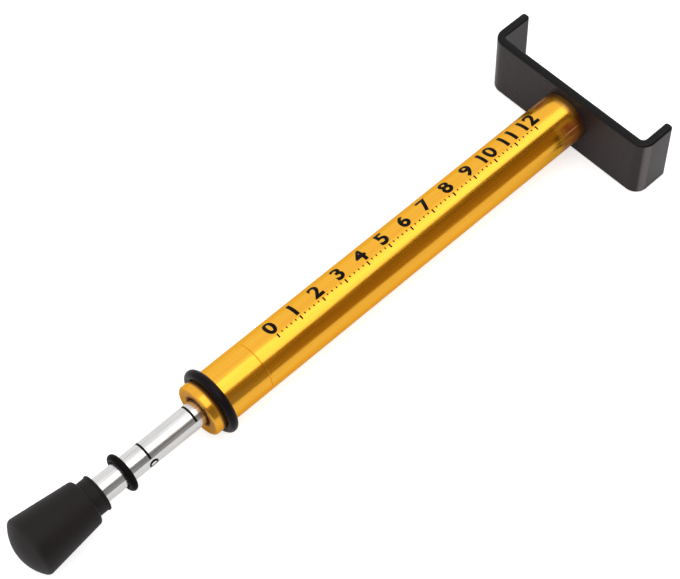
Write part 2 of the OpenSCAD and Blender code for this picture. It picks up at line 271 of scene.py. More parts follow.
# %% Skin texture
skin_texture, given, made = new_group(
    "skin texture", {"Grain per metre": 2500.0, "Mottle per metre": 90.0}, ["Height", "Mottle"])
coords = place(skin_texture, "ShaderNodeTexCoord").outputs["Object"]
grain = place(skin_texture, "ShaderNodeTexNoise", {
    "Vector": coords, "Scale": given["Grain per metre"], "Detail": 3.0, "Roughness": 0.55})
mottle = place(skin_texture, "ShaderNodeTexNoise", {
    "Vector": coords, "Scale": given["Mottle per metre"], "Detail": 4.0, "Roughness": 0.6})
skin_texture.links.new(grain.outputs["Fac"], made["Height"])
skin_texture.links.new(mottle.outputs["Fac"], made["Mottle"])
print("group:", skin_texture.name)

# %% [markdown]
# Turned lines are the faint rings that a lathe tool leaves on a face. The distance from the tool's axis goes
# through a sine, so the rings are true circles about the axis, and a little noise keeps them from looking
# drawn. The group also hands on the distance itself, in metres, for what depends on it.

# %% Turned lines
turned_lines, given, made = new_group("turned lines", {"Rings per metre": 4000.0}, ["Height", "Radius"])
coords = place(turned_lines, "ShaderNodeTexCoord").outputs["Object"]
across = place(turned_lines, "ShaderNodeVectorMath", operation="MULTIPLY")
turned_lines.links.new(coords, across.inputs[0])
across.inputs[1].default_value = (0.0, 1.0, 1.0)
from_axis = place(turned_lines, "ShaderNodeVectorMath", {0: across.outputs[0]}, operation="LENGTH")
radius = from_axis.outputs["Value"]
wobble = place(turned_lines, "ShaderNodeTexNoise", {"Vector": coords, "Scale": 300.0, "Detail": 1.0})
phase = math_node(turned_lines, "MULTIPLY", radius, given["Rings per metre"])
shifted = math_node(turned_lines, "ADD", phase, wobble.outputs["Fac"])
turn = math_node(turned_lines, "MULTIPLY", shifted, 2.0 * math.pi)
wave = place(turned_lines, "ShaderNodeMath", {0: turn}, operation="SINE").outputs["Value"]
turned_lines.links.new(remap(turned_lines, wave, 0.0, 1.0, -1.0, 1.0), made["Height"])
turned_lines.links.new(radius, made["Radius"])
print("group:", turned_lines.name)

# %% [markdown]
# ## Gold anodised aluminium
# The tube and the cap are bright aluminium under a dyed, clear oxide skin, so they act as a gold-coloured
# metal with a thin glossy coat. The drawn grain stretches the reflections, and a few scuffs roughen them.
# One function starts both finishes and hands back its coat, colour, roughness and height, so that the tube
# and the cap can each add their own wear before the links are made.

# %% Gold base
gold_deep = (0.87, 0.392, 0.014)
gold_bright = (0.985, 0.503, 0.030)
edge_tint = (0.90, 0.70, 0.40, 1.0)
facing_coat, glancing_coat = 0.55, 0.1
grain_depth, grain_strength = mm(0.004), 0.35


def gold_base(name):
    material, tree, shader = new_material(name, Metallic=1.0, Coat_Roughness=0.12, Specular_Tint=edge_tint)
    slant = place(tree, "ShaderNodeLayerWeight").outputs["Facing"]
    gloss = remap(tree, slant, facing_coat, glancing_coat, 0.25, 0.65)
    grain = use_group(tree, drawn_grain, Lines_per_metre=3600.0, Stretch=0.012)
    scuffs = use_group(tree, handling_scuffs, Scale=1100.0, Sparseness=0.74)
    tone = blend_colour(tree, grain["Tone"], gold_deep, gold_bright)
    satin = remap(tree, grain["Streaks"], 0.15, 0.28, 0.3, 0.7)
    rough = math_node(tree, "ADD", satin, remap(tree, scuffs["Mask"], 0.0, 0.14))
    return material, tree, shader, gloss, tone, rough, grain["Streaks"]


print("gold from", gold_deep, "to", gold_bright)

# %% [markdown]
# The last few millimetres of the tube are bruised to a dull red-brown and scratched on two flanks, and the
# same red-brown is a painted reflection of the dark cradle there. One mask runs along X and one round the
# tube from flank to flank, away from the bright line, and noise breaks them up. Right against the cradle the
# tube is painted nearly black, a painted reflection of the cradle. Bruised oxide and the painted reflection
# no longer mirror, so the metal share of the shader falls there.

# %% Tube finish
flank_angle = math.radians(6.0)
flank_axis = (0.0, math.cos(flank_angle) / barrel_r, math.sin(flank_angle) / barrel_r)
bruise_and_reflection_start, bruise_and_reflection_full = tube_high.x - mm(12.0), tube_high.x - mm(9.0)
cradle_reflection_start, cradle_reflection_full = tube_high.x - mm(3.8), tube_high.x - mm(1.2)
# The red-brown is partly bruised dye and partly a painted reflection of the dark cradle.
bruise_and_reflection_brown = (0.27, 0.058, 0.006)
scratch_tan = (0.74, 0.42, 0.19)
# Near black: a painted reflection of the cradle in the tube's end.
cradle_reflection_brown = (0.050, 0.009, 0.003)


def gold_tube_finish():
    material, tree, shader, gloss, tone, rough, height = gold_base("gold_tube")
    coords = place(tree, "ShaderNodeTexCoord").outputs["Object"]
    along = place(tree, "ShaderNodeSeparateXYZ", {"Vector": coords}).outputs["X"]
    near_end = remap(tree, along, 0.0, 1.0, bruise_and_reflection_start, bruise_and_reflection_full)
    patch_noise = place(tree, "ShaderNodeTexNoise", {"Vector": coords, "Scale": 160.0, "Detail": 3.0})
    patches = remap(tree, patch_noise.outputs["Fac"], 0.60, 1.0, 0.38, 0.60)
    reach = place(tree, "ShaderNodeVectorMath", {0: coords, 1: flank_axis}, operation="DOT_PRODUCT")
    on_flanks = remap(tree, size_of(tree, reach.outputs["Value"]), 0.0, 1.0, 0.40, 0.62)
    # Painted reflection of the dark cradle, with bruising, on the flanks near the end.
    bruise_and_reflection = math_node(tree, "MULTIPLY", on_flanks, math_node(tree, "MULTIPLY", near_end, patches))
    scratches = use_group(tree, handling_scuffs, Scale=500.0, Sparseness=0.62)["Mask"]
    scratched = math_node(tree, "MULTIPLY", bruise_and_reflection, scratches)
    # Painted reflection of the cradle, nearly black right against it.
    cradle_reflection = remap(tree, along, 0.0, 0.85, cradle_reflection_start, cradle_reflection_full)
    tone = blend_colour(tree, bruise_and_reflection, tone, bruise_and_reflection_brown)
    tone = blend_colour(tree, remap(tree, scratched, 0.0, 0.55), tone, scratch_tan)
    tone = blend_colour(tree, cradle_reflection, tone, cradle_reflection_brown)
    wear_and_reflection = math_node(tree, "MAXIMUM", bruise_and_reflection, cradle_reflection)
    tree.links.new(tone, shader["Base Color"])
    tree.links.new(gloss, shader["Coat Weight"])
    tree.links.new(remap(tree, wear_and_reflection, 1.0, 0.2), shader["Metallic"])
    tree.links.new(math_node(tree, "ADD", rough, remap(tree, wear_and_reflection, 0.0, 0.16)), shader["Roughness"])
    tree.links.new(bump(tree, height, grain_depth, grain_strength), shader["Normal"])
    return material


gold_tube = gold_tube_finish()
print("material:", gold_tube.name)

# %% [markdown]
# The cap is turned, so its dished face carries fine rings. In the counterbore round the rod the gold goes to
# a dull brown, partly oil and partly painted shade of the recess. Darker painted shade lies on the
# counterbore's edge, and in a line where the ring meets the cap, in place of the shadow in the groove. The
# metal and the glossy coat give way to the painted shade there. The stub is painted a little deeper and the
# end faces deeper still, also as painted shade.

# %% Cap finish
mouth_r = rod_r + mm(0.85)
# Deeper tones for the stub and the end faces, as painted shade.
shaded_stub_gold = (0.72, 0.31, 0.016)
shaded_face_gold = (0.66, 0.30, 0.04)
# Dull brown in the counterbore: partly oil, partly painted shade of the recess.
oil_and_shade_brown = (0.60, 0.22, 0.03)
# Dark brown painted shade for the ring's groove and the counterbore's edge.
shade_brown = (0.050, 0.012, 0.004)
shade_gloss = 0.12


# Painted shade: a band in the ring's groove and a band on the counterbore's edge.
def cap_shade(tree, along, radius, on_face):
    by_ring = remap(tree, along, 0.0, 1.0, cap_face_x + mm(2.5), cap_face_x + mm(3.4))
    past_ring = remap(tree, along, 1.0, 0.0, cap_face_x + mm(4.6), cap_face_x + mm(5.0))
    groove_shade = math_node(tree, "MULTIPLY", by_ring, past_ring)
    out_of_bore = remap(tree, radius, 0.0, 1.0, mouth_r - mm(0.05), mouth_r + mm(0.02))
    by_mouth = remap(tree, radius, 1.0, 0.0, mouth_r + mm(0.35), mouth_r + mm(0.9))
    mouth_edge = math_node(tree, "MULTIPLY", out_of_bore, by_mouth)
    mouth_shade = math_node(tree, "MULTIPLY", mouth_edge, on_face)
    return math_node(tree, "MAXIMUM", groove_shade, remap(tree, mouth_shade, 0.0, 0.85))


def gold_cap_finish():
    material, tree, shader, gloss, tone, rough, height = gold_base("gold_cap")
    shader["Specular IOR Level"].default_value = shade_gloss
    rings = use_group(tree, turned_lines, Rings_per_metre=3600.0)
    along = coordinate(tree, "Object", "X")
    on_face = remap(tree, size_of(tree, coordinate(tree, "Normal", "X")), 0.0, 1.0, 0.6, 0.9)
    on_stub = remap(tree, along, 1.0, 0.0, cap_face_x + mm(4.0), cap_face_x + mm(4.6))
    # Oil with painted shade in the counterbore round the rod.
    oil_and_shade = remap(tree, rings["Radius"], 1.0, 0.0, mouth_r + mm(0.3), mouth_r + mm(0.8))
    painted_shade = cap_shade(tree, along, rings["Radius"], on_face)
    # Painted shade: the stub a little deeper and the end faces deeper.
    tone = blend_colour(tree, remap(tree, on_stub, 0.0, 0.3), tone, shaded_stub_gold)
    tone = blend_colour(tree, on_face, tone, shaded_face_gold)
    tone = blend_colour(tree, oil_and_shade, tone, oil_and_shade_brown)
    tone = blend_colour(tree, remap(tree, painted_shade, 0.0, 0.95), tone, shade_brown)
    dull = math_node(tree, "MAXIMUM", oil_and_shade, painted_shade)
    rough = math_node(tree, "ADD", rough, remap(tree, on_stub, 0.0, 0.02))
    rough = math_node(tree, "ADD", rough, remap(tree, dull, 0.0, 0.25))
    unshaded = remap(tree, painted_shade, 1.0, 0.1)
    height = place(tree, "ShaderNodeMix", {"Factor": on_face, 2: height, 3: rings["Height"]}).outputs[0]
    tree.links.new(tone, shader["Base Color"])
    tree.links.new(remap(tree, painted_shade, 1.0, 0.0), shader["Metallic"])
    tree.links.new(math_node(tree, "MULTIPLY", unshaded, gloss), shader["Coat Weight"])
    tree.links.new(rough, shader["Roughness"])
    tree.links.new(bump(tree, height, grain_depth, grain_strength), shader["Normal"])
    return material


gold_cap = gold_cap_finish()
print("material:", gold_cap.name)

# %% [markdown]
# ## Satin black powder coat
# The cradle is steel under a baked powder coat: nearly black, a little warm, with a fine orange-peel surface
# that blurs reflections without hiding them. The mottle varies the gloss as a sprayed film does. The strip's
# long edges are painted near black as painted shade. The outside of each bend carries a painted grey
# highlight, found by comparing the surface normal with one direction that points between the ear's outside
# and the tube.

# %% Powder coat
coat_dark, coat_light = (0.0200, 0.0150, 0.0156), (0.0270, 0.0205, 0.0213)
# Near black painted shade for the strip's long edges.
rim_shade_black = (0.0020, 0.0016, 0.0016)
# Grey painted highlight for the outside of the bends.
bend_highlight_grey = (0.120, 0.102, 0.104)
scuff_grey = (0.032, 0.026, 0.027)
highlight_angle = math.radians(64.0)


# Painted highlight on the outside of each bend.
def bend_highlight(tree):
    sideways = size_of(tree, coordinate(tree, "Normal", "Y"))
    toward_ear = math_node(tree, "MULTIPLY", sideways, math.sin(highlight_angle))
    toward_belt = math_node(tree, "MULTIPLY", coordinate(tree, "Normal", "X"), math.cos(highlight_angle))
    alike = math_node(tree, "SUBTRACT", toward_ear, toward_belt)
    return remap(tree, alike, 0.0, 1.0, 0.93, 0.99)


def powder_coat():
    material, tree, shader = new_material("powder_coat", Specular_IOR_Level=0.18)
    skin = use_group(tree, skin_texture, Grain_per_metre=1500.0, Mottle_per_metre=70.0)
    scuffs = use_group(tree, handling_scuffs, Scale=700.0, Sparseness=0.80)
    from_middle = size_of(tree, coordinate(tree, "Object", "Z"))
    # Painted shade on the strip's long edges.
    shaded_rim = remap(tree, from_middle, 0.0, 1.0, cradle_high.z - mm(1.0), cradle_high.z - mm(0.2))
    tone = blend_colour(tree, skin["Mottle"], coat_dark, coat_light)
    tone = blend_colour(tree, shaded_rim, tone, rim_shade_black)
    tone = blend_colour(tree, bend_highlight(tree), tone, bend_highlight_grey)
    tone = blend_colour(tree, scuffs["Mask"], tone, scuff_grey)
    tree.links.new(tone, shader["Base Color"])
    tree.links.new(remap(tree, skin["Mottle"], 0.22, 0.32, 0.3, 0.7), shader["Roughness"])
    tree.links.new(bump(tree, skin["Height"], mm(0.012), 0.5), shader["Normal"])
    return material


coat = powder_coat()
print("material:", coat.name)

# %% [markdown]
# ## Rubber
# The knob is a matte moulded rubber, and the two rings are a smoother, darker cord. Both share the skin
# texture with different grain sizes. A touch of sheen stands for the dusty bloom that rubber gets, and the
# knob's domed end, which the palm pushes, is a little greyer than its sides.

# %% Rubber finishes
palm_grey = (0.033, 0.0280, 0.0286)
dome_edge_x = knob_high.x - mm(26.6)


def rubber(name, dark, light, grain, rough, depth, gloss, bloom=0.0, dome_x=None):
    material, tree, shader = new_material(
        name, Specular_IOR_Level=gloss, Sheen_Weight=bloom, Sheen_Roughness=0.5)
    skin = use_group(tree, skin_texture, Grain_per_metre=grain, Mottle_per_metre=140.0)
    tone = blend_colour(tree, skin["Mottle"], dark, light)
    if dome_x is not None:
        along = coordinate(tree, "Object", "X")
        on_dome = remap(tree, along, 1.0, 0.0, dome_x - mm(1.2), dome_x + mm(0.6))
        palm_wear = math_node(tree, "MULTIPLY", on_dome, skin["Mottle"])
        tone = blend_colour(tree, palm_wear, tone, palm_grey)
    tree.links.new(tone, shader["Base Color"])
    tree.links.new(remap(tree, skin["Mottle"], *rough, 0.3, 0.7), shader["Roughness"])
    tree.links.new(bump(tree, skin["Height"], depth, 0.6), shader["Normal"])
    return material


knob_rubber = rubber(
    "knob_rubber", (0.0106, 0.0079, 0.0081), (0.0156, 0.0119, 0.0121), grain=2200.0,
    rough=(0.50, 0.62), depth=mm(0.02), gloss=0.15, bloom=0.02, dome_x=dome_edge_x)
ring_rubber = rubber(
    "ring_rubber", (0.0076, 0.0050, 0.0060), (0.0116, 0.0080, 0.0092), grain=3000.0,
    rough=(0.22, 0.32), depth=mm(0.008), gloss=0.07)
telltale_rubber = rubber(
    "telltale_rubber", (0.0052, 0.0043, 0.0044), (0.0084, 0.0071, 0.0072), grain=3000.0,
    rough=(0.36, 0.48), depth=mm(0.008), gloss=0.03)
print("materials:", knob_rubber.name, ring_rubber.name, telltale_rubber.name)

# %% [markdown]
# ## Bright rod and plated steel
# The rod is ground and polished, so it mirrors the studio with fine lines along it. The hidden hardware is
# plated or plain metal, with the same grain at other strengths, so an opened or moved tool still looks right.

# %% Metal finishes
def bare_metal(name, dark, light, lines, stretch, rough_low, rough_high):
    material, tree, shader = new_material(name, Metallic=1.0)
    grain = use_group(tree, drawn_grain, Lines_per_metre=lines, Stretch=stretch)
    scuffs = use_group(tree, handling_scuffs, Scale=1300.0, Sparseness=0.73)
    tree.links.new(blend_colour(tree, grain["Tone"], dark, light), shader["Base Color"])
    satin = remap(tree, grain["Streaks"], rough_low, rough_high, 0.3, 0.7)
    rough = math_node(tree, "ADD", satin, remap(tree, scuffs["Mask"], 0.0, 0.12))
    tree.links.new(rough, shader["Roughness"])
    tree.links.new(bump(tree, grain["Streaks"], grain_depth, grain_strength), shader["Normal"])
    return material


rod_steel = bare_metal("rod_steel", (0.575, 0.570, 0.562), (0.875, 0.868, 0.856), 3400.0, 0.02, 0.14, 0.30)
zinc_steel = bare_metal("zinc_steel", (0.50, 0.51, 0.53), (0.66, 0.67, 0.69), 3000.0, 0.6, 0.26, 0.40)
spring_wire = bare_metal("spring_wire", (0.34, 0.35, 0.37), (0.48, 0.49, 0.51), 3500.0, 0.8, 0.24, 0.36)
bush_bronze = bare_metal("bush_bronze", (0.10, 0.05, 0.018), (0.17, 0.09, 0.03), 2500.0, 0.9, 0.42, 0.58)
insert_brass = bare_metal("insert_brass", (0.58, 0.41, 0.14), (0.74, 0.55, 0.23), 3500.0, 0.7, 0.20, 0.34)
print("materials:", rod_steel.name, zinc_steel.name, spring_wire.name, bush_bronze.name, insert_brass.name)

# %% [markdown]
# The stop washer is red vulcanised fibre, and the marks and numbers are black ink or filler. Neither is
# one flat colour: the fibre has flecks, and the ink is thinner in places.

# %% Fibre and ink
def flecked(name, dark, light, flecks, rough_low, rough_high, gloss):
    material, tree, shader = new_material(name, Specular_IOR_Level=gloss)
    skin = use_group(tree, skin_texture, Grain_per_metre=flecks, Mottle_per_metre=400.0)
    both = math_node(tree, "MULTIPLY", skin["Height"], skin["Mottle"])
    fleck = remap(tree, both, 0.0, 1.0, 0.1, 0.45)
    tree.links.new(blend_colour(tree, fleck, dark, light), shader["Base Color"])
    tree.links.new(remap(tree, skin["Mottle"], rough_low, rough_high, 0.3, 0.7), shader["Roughness"])
    tree.links.new(bump(tree, skin["Height"], mm(0.006), 0.4), shader["Normal"])
    return material


red_fibre = flecked("red_fibre", (0.20, 0.03, 0.02), (0.36, 0.09, 0.05), 3000.0, 0.55, 0.70, 0.2)
black_ink = flecked("black_ink", (0.004, 0.003, 0.0025), (0.012, 0.008, 0.006), 4000.0, 0.30, 0.45, 0.05)
print("materials:", red_fibre.name, black_ink.name)

# %% [markdown]
# ## Dress the pieces that keep their shape
# Most pieces are turned or drawn parts whose frame solid is already the true shape. They only need a finish.

# %% Finishes for the frame's own pieces
finish_of = {
    "barrel_tube": gold_tube,
    "guide_cap": gold_cap,
    "guide_bush": bush_bronze,
    "bumper_ring": ring_rubber,
    "telltale_ring": telltale_rubber,
    "plunger_rod": rod_steel,
    "push_knob": knob_rubber,
    "knob_insert": insert_brass,
    "stop_washer": red_fibre,
}
for name, node in nodes.items():
    node.data.materials.clear()
    node.data.materials.append(finish_of.get(name, zinc_steel))
print("finished:", ", ".join(sorted(nodes)))

# %% [markdown]
# ## Helpers for new meshes
# New pieces are meshes in the frame's own coordinates. Each one rides on the body that it belongs to, and
# may stand for a frame piece, which then isn't shown.

# %% Mesh helpers
def new_piece(name, verts, faces, material, body, slot, stands_for=None, crease=35.0):
    mesh = bpy.data.meshes.new(name)
    mesh.from_pydata(verts, [], faces)
    shape = bmesh.new()
    shape.from_mesh(mesh)
    bmesh.ops.recalc_face_normals(shape, faces=shape.faces)
    shape.to_mesh(mesh)
    shape.free()
    mesh.shade_smooth()
    mesh.set_sharp_from_angle(angle=math.radians(crease))
    mesh.materials.append(material)
    piece = bpy.data.objects.new(name, mesh)
    bpy.context.scene.collection.objects.link(piece)
    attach(piece, body)
    if stands_for:
        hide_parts(stands_for)
    print("%s: %d faces on %s" % (name, len(mesh.polygons), body))
    return piece


def revolve(outline, segments):
    """A closed loop of (radius, x) points, turned about the X axis. A point on the axis is one vertex."""
    verts, faces, rings = [], [], []
    for r, x in outline:
        count = segments if r > 0 else 1
        rings.append([len(verts) + k % count for k in range(segments)])
        for k in range(count):
            angle = 2 * math.pi * k / segments
            verts.append((x, r * math.cos(angle), r * math.sin(angle)))
    for ring, following in zip(rings, rings[1:] + rings[:1]):
        for k in range(segments):
            beside = (k + 1) % segments
            corners = dict.fromkeys((ring[k], ring[beside], following[beside], following[k]))
            if len(corners) > 2:
                faces.append(tuple(corners))
    return verts, faces


print("mesh helpers ready")

# %% [markdown]
# ## The cradle
# A press brake bends the cradle from a flat strip, and the powder softens all its edges. It is made the same
# way here: a flat plate with rounded corners and a rounded rim is laid out along its developed length, and
# then each point is carried round the two bends. Doing it in this order keeps the rim even round the bends.

# %% Cradle sizes
strip_t = mm(3.25)
bend_r = mm(1.7)
corner_r = mm(0.85)
rim_r = mm(0.8)
tip_rim_r = mm(1.4)
short_ear_rise = mm(11.9)
long_ear_rise = cradle_high.x
half_width = cradle_high.z
corner_steps, bend_steps, seat_steps, rim_steps = 6, 8, 12, 5
cradle_crease = 50.0
seat_half = cradle_high.y - strip_t - bend_r
middle_r = bend_r + strip_t / 2
bend_length = middle_r * math.pi / 2
long_end = seat_half + bend_length + long_ear_rise - bend_r
short_end = seat_half + bend_length + short_ear_rise - bend_r
print("strip is %.1f mm long before bending" % (1000 * (long_end + short_end)))


# %% Carry a point of the flat strip round the bends
def bend_point(s, across, n):
    """s runs along the strip, across over its width, and n up from its middle plane, toward the belt."""
    side, distance = (1 if s >= 0 else -1), abs(s)
    if distance <= seat_half:
        return (n - strip_t / 2, side * distance, across)
    if distance <= seat_half + bend_length:
        angle = (distance - seat_half) / middle_r
        r = middle_r - n
        return (bend_r - r * math.cos(angle), side * (seat_half + r * math.sin(angle)), across)
    return (bend_r + distance - seat_half - bend_length, side * (seat_half + middle_r - n), across)


print("middle of the seat goes to x %.2f mm" % (1000 * bend_point(0.0, 0.0, 0.0)[0]))

# %% Flat plate with a rounded rim
def half_rows(end, side_inset, tip_inset, fall):
    """(along, half width, height) from one end of the strip to its middle, for one line round the rim."""
    r = corner_r - side_inset
    rows = []
    for i in range(corner_steps + 1):
        turn = math.radians(90 * i / corner_steps)
        rim_here = rim_r + (tip_rim_r - rim_r) * math.cos(turn) ** 2
        along = end - tip_inset - r * (1 - math.cos(turn))
        across = half_width - side_inset - r * (1 - math.sin(turn))
        rows.append((along, across, strip_t / 2 - rim_here * fall))
    side = (half_width - side_inset, strip_t / 2 - rim_r * fall)
    rows += [(seat_half + bend_length * i / bend_steps, *side) for i in range(bend_steps, -1, -1)]
    return rows + [(seat_half * (1 - i / seat_steps), *side) for i in range(1, seat_steps)]


def strip_rows(side_inset, tip_inset, fall):
    near = half_rows(long_end, side_inset, tip_inset, fall)
    far = half_rows(short_end, side_inset, tip_inset, fall)
    middle = (0.0, *near[-1][1:])
    return near + [middle] + [(-s, w, height) for s, w, height in reversed(far)]


def cradle_mesh():
    quarter = [math.radians(90 * i / rim_steps) for i in range(rim_steps + 1)]
    flat_edge = (corner_r - mm(0.02), tip_rim_r + mm(0.03), 0.0)
    rim = [flat_edge]
    rim += [(rim_r * (1 - math.sin(a)), tip_rim_r * (1 - math.sin(a)), 1 - math.cos(a)) for a in quarter]
    rings = [(1, line) for line in rim] + [(-1, line) for line in reversed(rim)]
    verts, faces = [], []
    for face_side, line in rings:
        for s, w, height in strip_rows(*line):
            verts.append(bend_point(s, w, face_side * height))
            verts.append(bend_point(s, -w, face_side * height))
    rows = len(strip_rows(*rim[0]))

    def at(ring, row, side):
        return (ring * rows + row) * 2 + side

    last, far = rows - 1, len(rings) - 1
    for ring in range(far):
        after = ring + 1
        for row in range(last):
            ahead = row + 1
            faces.append((at(ring, row, 0), at(after, row, 0), at(after, ahead, 0), at(ring, ahead, 0)))
            faces.append((at(ring, row, 1), at(ring, ahead, 1), at(after, ahead, 1), at(after, row, 1)))
        faces.append((at(ring, 0, 0), at(ring, 0, 1), at(after, 0, 1), at(after, 0, 0)))
        faces.append((at(ring, last, 0), at(after, last, 0), at(after, last, 1), at(ring, last, 1)))
    for row in range(last):
        ahead = row + 1
        faces.append((at(0, row, 0), at(0, ahead, 0), at(0, ahead, 1), at(0, row, 1)))
        faces.append((at(far, row, 0), at(far, row, 1), at(far, ahead, 1), at(far, ahead, 0)))
    return verts, faces


cradle = new_piece(
    "cradle_strip", *cradle_mesh(), coat, "barrel", "black_coat", "belt_cradle", crease=cradle_crease)

# %% [markdown]
# The countersunk hole for the screw is cut with a cone, as a drill would cut it. A boolean modifier does the
# cut, and its result is kept as the mesh, so no cutter stays in the scene.

# %% Countersink in the belt seat
screw_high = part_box("cradle_screw")[highest]
head_r = screw_high.z
head_top = screw_high.x
shank_r = mm(3.0)
play = mm(0.03)
drill_sides = 64
drill_outline = [
    (0.0, -2 * strip_t),
    (shank_r + play, -2 * strip_t),
    (shank_r + play, head_top - head_r + shank_r),
    (head_r + play, head_top),
    (head_r + play, strip_t),
    (0.0, strip_t),
]
drill_verts, drill_faces = revolve(drill_outline, drill_sides)
drill_mesh = bpy.data.meshes.new("countersink")
drill_mesh.from_pydata(drill_verts, [], drill_faces)
drill = bpy.data.objects.new("countersink", drill_mesh)
bpy.context.scene.collection.objects.link(drill)
cut = cradle.modifiers.new("countersink", "BOOLEAN")
cut.object = drill
cut.solver = "EXACT"
drilled = cradle.evaluated_get(bpy.context.evaluated_depsgraph_get())
cradle.data = bpy.data.meshes.new_from_object(drilled)
cradle.modifiers.clear()
cradle.data.set_sharp_from_angle(angle=math.radians(cradle_crease))
bpy.data.objects.remove(drill)
print("cradle after drilling: %d faces" % len(cradle.data.polygons))

# %% [markdown]
# ## The spring
# The coil spring sits unseen in the tube, and closes up as the knob is pushed. A round wire is swept along a
# helix, with one closed turn at each end. A real coil shortens towards its fixed end, and keeps its diameter
# while it only loses length.

# %% Coil spring on a helix
wire_r = mm(1.83) / 2
coil_r = spring_high.z - wire_r
closed_spacing = 1.12
end_pitch = closed_spacing * 2 * wire_r
active_turns = 31
wire_sides, turn_steps = 12, 32
spring_length = spring_high.x - spring_low.x
active_pitch = (spring_length - 2 * wire_r - 2 * end_pitch) / active_turns


def coil_height(turn):
    closed = end_pitch * min(turn, 1.0)
    middle = active_pitch * max(0.0, min(turn - 1.0, active_turns))
    return closed + middle + end_pitch * max(0.0, turn - active_turns - 1.0)


def spring_mesh(sides, steps_per_turn):
    verts, faces = [], []
    steps = (active_turns + 2) * steps_per_turn
    for i in range(steps + 1):
        turn = i / steps_per_turn
        for j in range(sides):
            around = 2 * math.pi * j / sides
            out = coil_r + wire_r * math.cos(around)
            x = spring_low.x + wire_r * (1 + math.sin(around)) + coil_height(turn)
            verts.append((x, out * math.cos(2 * math.pi * turn), out * math.sin(2 * math.pi * turn)))
    for i in range(steps):
        for j in range(sides):
            beside = (j + 1) % sides
            faces.append((i * sides + j, i * sides + beside, (i + 1) * sides + beside, (i + 1) * sides + j))
    faces.append(tuple(range(sides)))
    faces.append(tuple(steps * sides + j for j in range(sides)))
    return verts, faces


coil = spring_mesh(wire_sides, turn_steps)
spring = new_piece("spring_coil", *coil, spring_wire, "barrel", "spring_steel", "compression_spring")
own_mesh(spring)

# %% [markdown]
# ## Marks and numbers
# Two engraved lines cross the rod, filled with black, and the outer one has its number beside it. The barrel
# carries a plain centimetre scale. All of these are thin solids that are wrapped round their cylinder, so
# they stay crisp in a close view. A bar wrapped round the axis serves for lines and ticks alike.

# %% Bars wrapped round the axis
def on_cylinder(x, angle, r):
    return (x, r * math.cos(angle), r * math.sin(angle))


def arc_bar(x_middle, width, first_angle, last_angle, low_r, high_r, steps):
    verts, faces = [], []
    low_x, high_x = x_middle - width / 2, x_middle + width / 2
    for i in range(steps + 1):
        angle = math.radians(first_angle + (last_angle - first_angle) * i / steps)
        for x, r in ((low_x, low_r), (high_x, low_r), (high_x, high_r), (low_x, high_r)):
            verts.append(on_cylinder(x, angle, r))
    for i in range(steps):
        for j in range(4):
            beside = (j + 1) % 4
            faces.append((4 * i + j, 4 * i + beside, 4 * i + 4 + beside, 4 * i + 4 + j))
    faces.append((0, 1, 2, 3))
    faces.append(tuple(4 * steps + j for j in range(4)))
    return verts, faces


def join_parts(parts):
    verts, faces = [], []
    for part_verts, part_faces in parts:
        start = len(verts)
        verts.extend(part_verts)
        faces.extend(tuple(start + index for index in face) for face in part_faces)
    return verts, faces


print("bar helpers ready")

# %% Filled lines on the rod
first_mark = mm(3.05)
mark_pitch = mm(19.05)
mark_width = mm(0.78)
mark_from, mark_to, mark_steps = -92.8, 146.8, 60
fill_low_r, fill_high_r = rod_r - mm(0.125), rod_r - mm(0.012)
mark_xs = (cap_face_x - first_mark, cap_face_x - first_mark - mark_pitch)
mark_fill = [
    arc_bar(x, mark_width, mark_from, mark_to, fill_low_r, fill_high_r, mark_steps) for x in mark_xs]
new_piece("rod_marks", *join_parts(mark_fill), black_ink, "plunger", "black_coat")

# %% [markdown]
# Numbers come from Blender's own font. The text is made into a mesh of its own, cut into narrow strips across
# the direction that bends, and then each point is carried onto the cylinder. Without the cuts, a wide stroke
# would stay flat and sink into the tube. A small offset thickens the strokes to a bold weight. The ink starts
# just under the metal's surface and ends just above it.

# %% Numbers wrapped round a cylinder
strip_width = mm(0.33)
ink_above, ink_below = mm(0.022), mm(-0.012)


def text_shape(text, weight):
    curve = bpy.data.curves.new("number", "FONT")
    curve.body = text
    curve.align_x = "CENTER"
    curve.offset = weight
    curve.extrude = 0.5
    curve.resolution_u = 5
    holder = bpy.data.objects.new("number", curve)
    bpy.context.scene.collection.objects.link(holder)
    flat = bpy.data.meshes.new_from_object(holder.evaluated_get(bpy.context.evaluated_depsgraph_get()))
    bpy.data.objects.remove(holder)
    shape = bmesh.new()
    shape.from_mesh(flat)
    bmesh.ops.remove_doubles(shape, verts=shape.verts, dist=1e-5)
    return shape


def flat_number(text, height, weight, across):
    shape = text_shape(text, weight)
    low = min(v.co.y for v in shape.verts)
    scale = height / (max(v.co.y for v in shape.verts) - low)
    middle = (max(v.co.x for v in shape.verts) + min(v.co.x for v in shape.verts)) / 2
    for v in shape.verts:
        v.co = Vector(((v.co.x - middle) * scale, (v.co.y - low) * scale, v.co.z))
    cuts = int(max(abs(v.co[across]) for v in shape.verts) / strip_width)
    direction = Vector((1, 0, 0)) if across == 0 else Vector((0, 1, 0))
    for i in range(-cuts, cuts + 1):
        everything = shape.verts[:] + shape.edges[:] + shape.faces[:]
        cut_at = direction * strip_width * i
        bmesh.ops.bisect_plane(shape, geom=everything, plane_co=cut_at, plane_no=direction)
    shape.verts.index_update()
    points = [tuple(v.co) for v in shape.verts]
    faces = [tuple(v.index for v in f.verts) for f in shape.faces]
    shape.free()
    return points, faces


def layer_r(r, z):
    return r + (ink_above if z > 0 else ink_below)


print("ink stands %.3f mm above the metal" % (1000 * ink_above))

# %% Number on the rod
number_edge = math.radians(157.0)
number_rise = mm(3.5)
number_stretch = 1.5
number_shift = mm(0.5)
rod_stroke = 0.02


